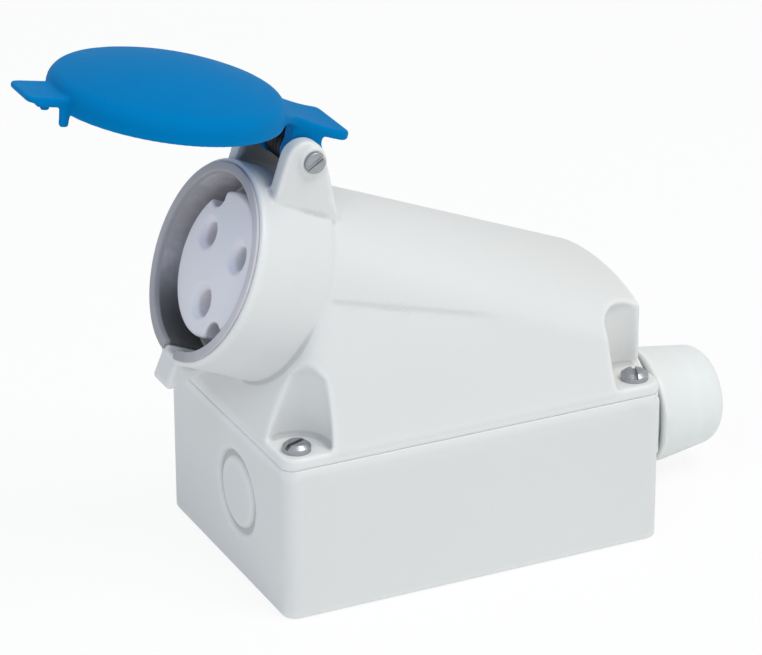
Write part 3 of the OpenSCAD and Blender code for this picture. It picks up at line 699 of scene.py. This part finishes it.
def wire_tree(material):
    """Round wire swept along the edges of a line."""
    weave = Weave("wire", ["Radius"])
    line = weave.node("GeometryNodeMeshToCurve", None, {"Mesh": weave.given["Geometry"]})
    ring = weave.node("GeometryNodeCurvePrimitiveCircle", None, {
        "Resolution": WIRE_SIDES, "Radius": weave.given["Radius"]})
    tube = weave.node("GeometryNodeCurveToMesh", None, {
        "Curve": line, "Profile Curve": ring, "Fill Caps": True})
    weave.end(weave.node("GeometryNodeSetShadeSmooth", None, {"Geometry": tube}), material)
    return weave


def line_object(name, points, material):
    """A chain of edges to sweep a wire along."""
    mesh = bpy.data.meshes.new(name)
    mesh.from_pydata([tuple(p) for p in points], [(i, i + 1) for i in range(len(points) - 1)], [])
    return placed(name, mesh, material)


def in_mouth(up, across, out):
    """A point given as height, sideways place and distance in front of the rim, in metres."""
    return MOUTH_POINT + MOUTH_UP * up + Vector((0, across, 0)) + MOUTH_OUT * out


# Pieces

class SOCKET_OT_box(bpy.types.Operator):
    """Makes the back box and its gasket"""
    bl_idname = "socket.make_box"
    bl_label = "Back Box"

    def execute(self, context):
        # Painted shade darkens the groove of the knockout ring
        box = moulding("box_moulding", "back_box", finish("shell_grey"), crisp=PARTING, dust_and_shade=knockout_painted_shade)
        stands_for(box, "housing", "shell", "back_box")
        refinish(finish("seal_dark"), "box_gasket")
        return {"FINISHED"}


class SOCKET_OT_cover(bpy.types.Operator):
    """Makes the sloping cover with its collar and hinge ears"""
    bl_idname = "socket.make_cover"
    bl_label = "Cover"

    def execute(self, context):
        # Painted shade darkens the cover between the hinge ears
        cover = moulding("cover_moulding", "cover", finish("shell_grey"),
                         crisp=PARTING, relief=creased, dust_and_shade=hinge_painted_shade)
        stands_for(cover, "housing", "shell", "cover")
        return {"FINISHED"}


class SOCKET_OT_lid(bpy.types.Operator):
    """Makes the blue lid"""
    bl_idname = "socket.make_lid"
    bl_label = "Lid"

    def execute(self, context):
        lid = moulding("lid_moulding", "lid", finish("lid_blue"), voxel=0.00035, rounding=0.0004)
        stands_for(lid, "lid", "lid", "lid")
        return {"FINISHED"}


class SOCKET_OT_contacts(bpy.types.Operator):
    """Makes the contact carrier, the mouth seal, the contacts and what holds them"""
    bl_idname = "socket.make_contacts"
    bl_label = "Contacts"

    def execute(self, context):
        carrier = moulding("carrier_moulding", "contact_carrier", finish("carrier_grey"),
                           voxel=0.0003, rounding=0.0003)
        stands_for(carrier, "housing", "carrier", "contact_carrier")
        seal = moulding("seal_moulding", "mouth_seal", finish("seal_dark"), voxel=0.00022, rounding=0.00022)
        stands_for(seal, "housing", "seal", "mouth_seal")
        refinish(finish("carrier_grey"), "carrier_base", "contact_retainer")
        refinish(finish("contact_brass"), "line_contact", "neutral_contact", "earth_contact")
        refinish(finish("plated_steel"), "carrier_screws", "terminal_screws", "retainer_screw")
        return {"FINISHED"}


class SOCKET_OT_screws(bpy.types.Operator):
    """Makes the four slotted cover screws"""
    bl_idname = "socket.make_screws"
    bl_label = "Cover Screws"

    def execute(self, context):
        sizes = context.scene.socket_sizes
        low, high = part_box("cover_screws")
        seat = high.z - sizes.screw_height
        mesh = bpy.data.meshes.new("screw_places")
        spots = [(x * (high.x - sizes.screw_head), y * (high.y - sizes.screw_head), seat)
                 for x in (-1, 1) for y in (-1, 1)]
        mesh.from_pydata(spots, [], [])
        turns = mesh.attributes.new("turn", "FLOAT", "POINT")
        turns.data.foreach_set("value", SCREW_TURNS)
        material = finish("plated_steel")
        screws = placed("cover_screw_set", mesh, material)
        screw_tree(material).run(screws, head=sizes.screw_head, height=sizes.screw_height,
                                 shank=sizes.screw_shank, length=seat - low.z, slot=sizes.screw_slot)
        stands_for(screws, "housing", "steel", "cover_screws")
        return {"FINISHED"}


class SOCKET_OT_hinge(bpy.types.Operator):
    """Makes the hinge pin, its clip and the lid spring"""
    bl_idname = "socket.make_hinge"
    bl_label = "Hinge"

    def execute(self, context):
        sizes = context.scene.socket_sizes
        steel = finish("plated_steel")
        pin = moulding("pin_turned", "hinge_pin", steel, voxel=0.00015, rounding=0.00012)
        stands_for(pin, "housing", "steel", "hinge_pin")
        refinish(steel, "pin_clip")
        dark = finish("spring_dark")
        spring = line_object("spring_coil", self.spring_line(sizes.coil), dark)
        wire_tree(dark).run(spring, radius=sizes.wire)
        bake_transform(spring)
        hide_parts("lid_spring")
        return {"FINISHED"}

    def spring_line(self, radius):
        """The middle of the wire, from its seat on the cover round the pin to the lid."""
        centre = HINGE_POINT - MOUTH_POINT
        up = centre.dot(MOUTH_UP)
        out = centre.dot(MOUTH_OUT)
        count = int(SPRING_TURNS * SPRING_STEPS)
        line = [in_mouth(SEAT_UP, -SPRING_REACH, out - SEAT_BACK)]
        for i in range(count + 1):
            angle = math.pi - i * 2 * math.pi / SPRING_STEPS
            line.append(in_mouth(up + radius * math.cos(angle), SPRING_REACH * (2 * i / count - 1),
                                 out + radius * math.sin(angle)))
        line.append(in_mouth(up + PRESS_UP, SPRING_REACH, out - PRESS_BACK))
        return line


class SOCKET_OT_gland(bpy.types.Operator):
    """Makes the cable gland"""
    bl_idname = "socket.make_gland"
    bl_label = "Cable Gland"

    def execute(self, context):
        pale = finish("gland_pale")
        body = moulding("gland_moulding", "gland_body", pale, voxel=0.0003, rounding=0.0003)
        stands_for(body, "housing", "shell", "gland_body")
        cap = moulding("cap_moulding", "gland_cap", pale, voxel=0.0003, rounding=0.0004)
        stands_for(cap, "cap_nut", "shell", "gland_cap")
        refinish(pale, "gland_locknut")
        refinish(finish("seal_dark"), "gland_washer", "gland_seal")
        refinish(finish("carrier_grey"), "gland_clamp")
        return {"FINISHED"}


class SOCKET_OT_stage(bpy.types.Operator):
    """Sets the floor, the lamps, the room and the camera"""
    bl_idname = "socket.make_stage"
    bl_label = "Stage"

    def execute(self, context):
        scene = context.scene
        stage = scene.socket_stage
        scene.view_settings.view_transform = "Standard"
        self.floor()
        self.room(scene, stage)
        for name, (place, width, colour) in LAMPS.items():
            self.lamp(scene, name + "_lamp", place, width, getattr(stage, name), colour)
        self.camera(scene, stage)
        return {"FINISHED"}

    def floor(self):
        """A floor that the camera sees as nearly white, with soft shadows."""
        mesh = bpy.data.meshes.new("floor")
        corners = [(x * FLOOR_REACH, y * FLOOR_REACH, FLOOR_HEIGHT)
                   for x, y in ((-1, -1), (1, -1), (1, 1), (-1, 1))]
        mesh.from_pydata(corners, [], [(0, 1, 2, 3)])
        material = bpy.data.materials.new("floor_white")
        paint = Paint(material)
        rays = paint.node("ShaderNodeLightPath")
        seen = Term(paint, rays.outputs["Is Camera Ray"])
        dull = paint.node("ShaderNodeBsdfDiffuse", None, {"Color": (0.95, 0.95, 0.95, 1)})
        white = paint.node("ShaderNodeEmission", None, {"Color": (1, 1, 1, 1), "Strength": 1.0})
        both = paint.node("ShaderNodeMixShader", None, {
            0: seen * FLOOR_WHITE, 1: dull.outputs[0], 2: white.outputs[0]})
        paint.node("ShaderNodeOutputMaterial", None, {"Surface": both.outputs[0]})
        placed("floor", mesh, material)

    def room(self, scene, stage):
        """An even, cool light that the camera sees as white."""
        world = bpy.data.worlds.new("studio")
        scene.world = world
        paint = Paint(world)
        rays = paint.node("ShaderNodeLightPath")
        seen = Term(paint, rays.outputs["Is Camera Ray"])
        shiny = Term(paint, rays.outputs["Is Glossy Ray"])
        through = Term(paint, rays.outputs["Is Transmission Ray"])
        even = paint.node("ShaderNodeBackground", None, {
            "Color": (0.92, 0.965, 1, 1), "Strength": stage.ambient})
        white = paint.node("ShaderNodeBackground", None, {"Color": (1, 1, 1, 1), "Strength": 1.0})
        both = paint.node("ShaderNodeMixShader", None, {
            0: seen.most(shiny * ROOM_WHITE).most(through), 1: even.outputs[0], 2: white.outputs[0]})
        paint.node("ShaderNodeOutputWorld", None, {"Surface": both.outputs[0]})

    def lamp(self, scene, name, place, width, power, colour):
        """A round soft lamp."""
        light = bpy.data.lights.new(name, "AREA")
        light.shape = "DISK"
        light.size = width
        light.energy = power
        light.color = colour
        made = bpy.data.objects.new(name, light)
        scene.collection.objects.link(made)
        made.location = place
        made.rotation_mode = "QUATERNION"
        made.rotation_quaternion = (AIM - Vector(place)).to_track_quat("-Z", "Y")

    def camera(self, scene, stage):
        """A camera turned so that the point it aims at falls beside the middle of the image."""
        around = stage.azimuth
        above = stage.elevation
        level = Vector((math.sin(around), -math.cos(around), 0))
        back = level * math.cos(above) + Vector((0, 0, math.sin(above)))
        right = Vector((math.cos(around), math.sin(around), 0))
        up = back.cross(right)
        lens = bpy.data.cameras.new("camera")
        lens.sensor_fit = "HORIZONTAL"
        lens.sensor_width = SENSOR
        lens.lens = FOCAL / IMAGE_WIDTH * SENSOR
        lens.clip_start = 0.05
        lens.clip_end = 20.0
        made = bpy.data.objects.new("camera", lens)
        scene.collection.objects.link(made)
        made.location = AIM + back * stage.distance
        shift_right = (IMAGE_WIDTH / 2 - AIM_X) / FOCAL
        shift_down = (IMAGE_HEIGHT / 2 - AIM_Y) / FOCAL
        toward = (right * shift_right - up * shift_down - back).normalized()
        side = toward.cross(up).normalized()
        top = side.cross(toward)
        made.rotation_mode = "QUATERNION"
        made.rotation_quaternion = Matrix((side, top, -toward)).transposed().to_quaternion()
        scene.camera = made


PIECES = (SOCKET_OT_stage, SOCKET_OT_box, SOCKET_OT_cover, SOCKET_OT_lid, SOCKET_OT_contacts,
          SOCKET_OT_screws, SOCKET_OT_hinge, SOCKET_OT_gland)


class SOCKET_PT_sidebar(bpy.types.Panel):
    """Lists the pieces and their sizes"""
    bl_idname = "SOCKET_PT_sidebar"
    bl_label = "Surface Mounted Socket"
    bl_space_type = "VIEW_3D"
    bl_region_type = "UI"
    bl_category = "Socket"

    def draw(self, context):
        layout = self.layout
        for piece in PIECES:
            layout.operator(piece.bl_idname)
        for group in (context.scene.socket_sizes, context.scene.socket_colours, context.scene.socket_stage):
            box = layout.box()
            for key in group.__annotations__:
                box.prop(group, key)


CLASSES = (SocketSizes, SocketColours, SocketStage, *PIECES, SOCKET_PT_sidebar)


def register():
    for part in CLASSES:
        bpy.utils.register_class(part)
    bpy.types.Scene.socket_sizes = PointerProperty(type=SocketSizes)
    bpy.types.Scene.socket_colours = PointerProperty(type=SocketColours)
    bpy.types.Scene.socket_stage = PointerProperty(type=SocketStage)


def unregister():
    del bpy.types.Scene.socket_stage
    del bpy.types.Scene.socket_colours
    del bpy.types.Scene.socket_sizes
    for part in reversed(CLASSES):
        bpy.utils.unregister_class(part)


def main():
    register()
    bpy.ops.socket.make_stage()
    bpy.ops.socket.make_box()
    bpy.ops.socket.make_cover()
    bpy.ops.socket.make_lid()
    bpy.ops.socket.make_contacts()
    bpy.ops.socket.make_screws()
    bpy.ops.socket.make_hinge()
    bpy.ops.socket.make_gland()


if __name__ == "__main__":
    main()
